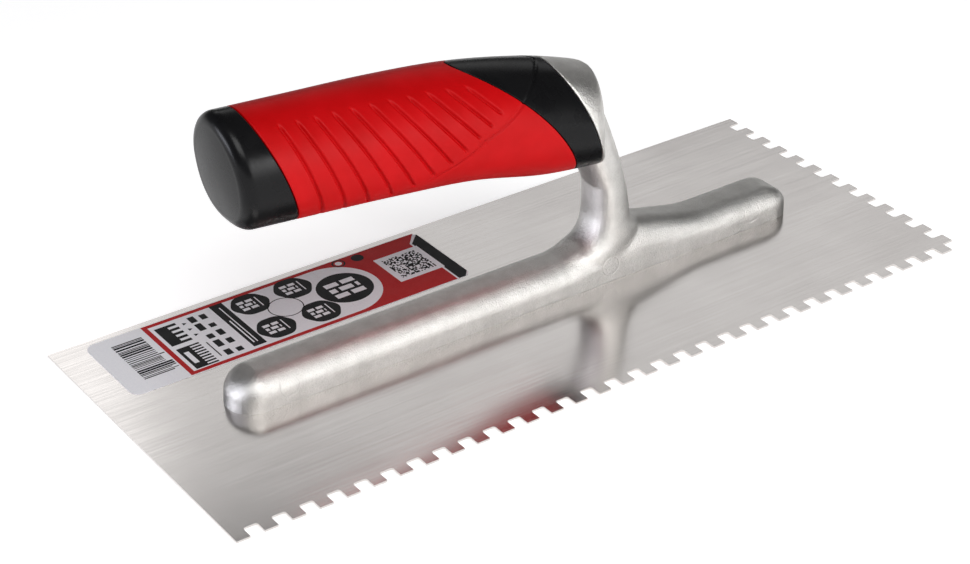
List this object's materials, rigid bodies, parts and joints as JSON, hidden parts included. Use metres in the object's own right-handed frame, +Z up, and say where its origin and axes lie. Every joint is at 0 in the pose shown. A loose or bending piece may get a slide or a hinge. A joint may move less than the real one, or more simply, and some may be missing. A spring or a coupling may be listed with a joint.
{
  "type": "notched trowel",
  "caption": "Hand trowel with a thin blade notched on one long and one short edge, a cast spine and post, and an arched two-part grip.",
  "frame": {"origin": "centre of the blade's underside, on the surface that the tool rests on", "axes": "+X along the blade towards the notched short edge, -Y towards the notched long edge, +Z up from the blade to the grip"},
  "size_m": [0.28, 0.12, 0.0985],
  "materials": {
    "stainless_sheet": "bright cold-rolled sheet with a fine grain",
    "cast_aluminium": "as cast, satin and slightly grainy",
    "fastener_steel": "plain steel",
    "black_plastic": "smooth satin moulding",
    "red_rubber": "soft matt overmould",
    "label_film": "printed self-adhesive film"
  },
  "bodies": {
    "root": {"blade": "stainless_sheet", "spine_casting": "cast_aluminium", "rivet_1": "fastener_steel", "rivet_2": "fastener_steel", "rivet_3": "fastener_steel", "rivet_4": "fastener_steel", "rivet_5": "fastener_steel", "rivet_6": "fastener_steel", "rivet_7": "fastener_steel", "rivet_8": "fastener_steel", "grip_core": "black_plastic", "grip_sleeve": "red_rubber", "end_cap": "black_plastic", "grip_washer": "fastener_steel", "grip_screw": "fastener_steel", "product_label": "label_film"}
  },
  "joints": []
}
